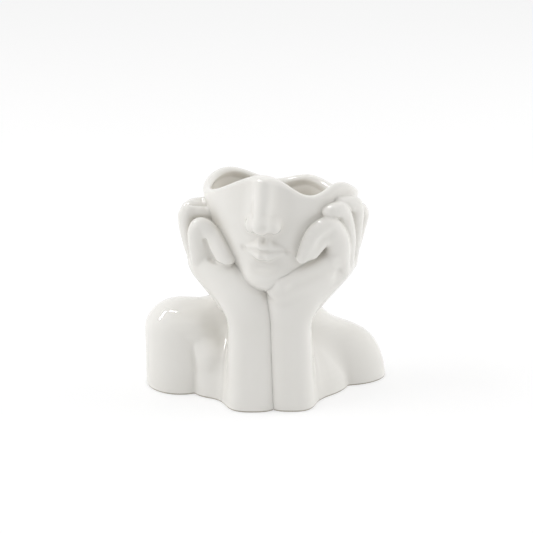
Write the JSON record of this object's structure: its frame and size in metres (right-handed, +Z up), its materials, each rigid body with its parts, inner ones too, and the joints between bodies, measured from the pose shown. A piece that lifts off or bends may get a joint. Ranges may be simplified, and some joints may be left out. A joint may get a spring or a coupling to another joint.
{
  "type": "face vase",
  "caption": "Glazed ceramic bust vase: an open head bowl with a wavy rim, propped on two curled hands and upright forearms in front of a hollow shoulder base.",
  "frame": {"origin": "on the flat underside, between the forearms and the middle of the bust", "axes": "+Z up, -Y towards the front of the figure, +X towards the figure's left"},
  "size_m": [0.177, 0.1116, 0.1685],
  "materials": {
    "white_glaze": "glossy white glaze",
    "bare_ceramic": "unglazed, wiped smooth"
  },
  "bodies": {
    "root": {"face_vessel": "white_glaze", "bust_shell": "white_glaze", "right_forearm": "white_glaze", "left_forearm": "white_glaze", "right_hand": "white_glaze", "left_hand": "white_glaze", "base_plate": "bare_ceramic"}
  },
  "joints": []
}
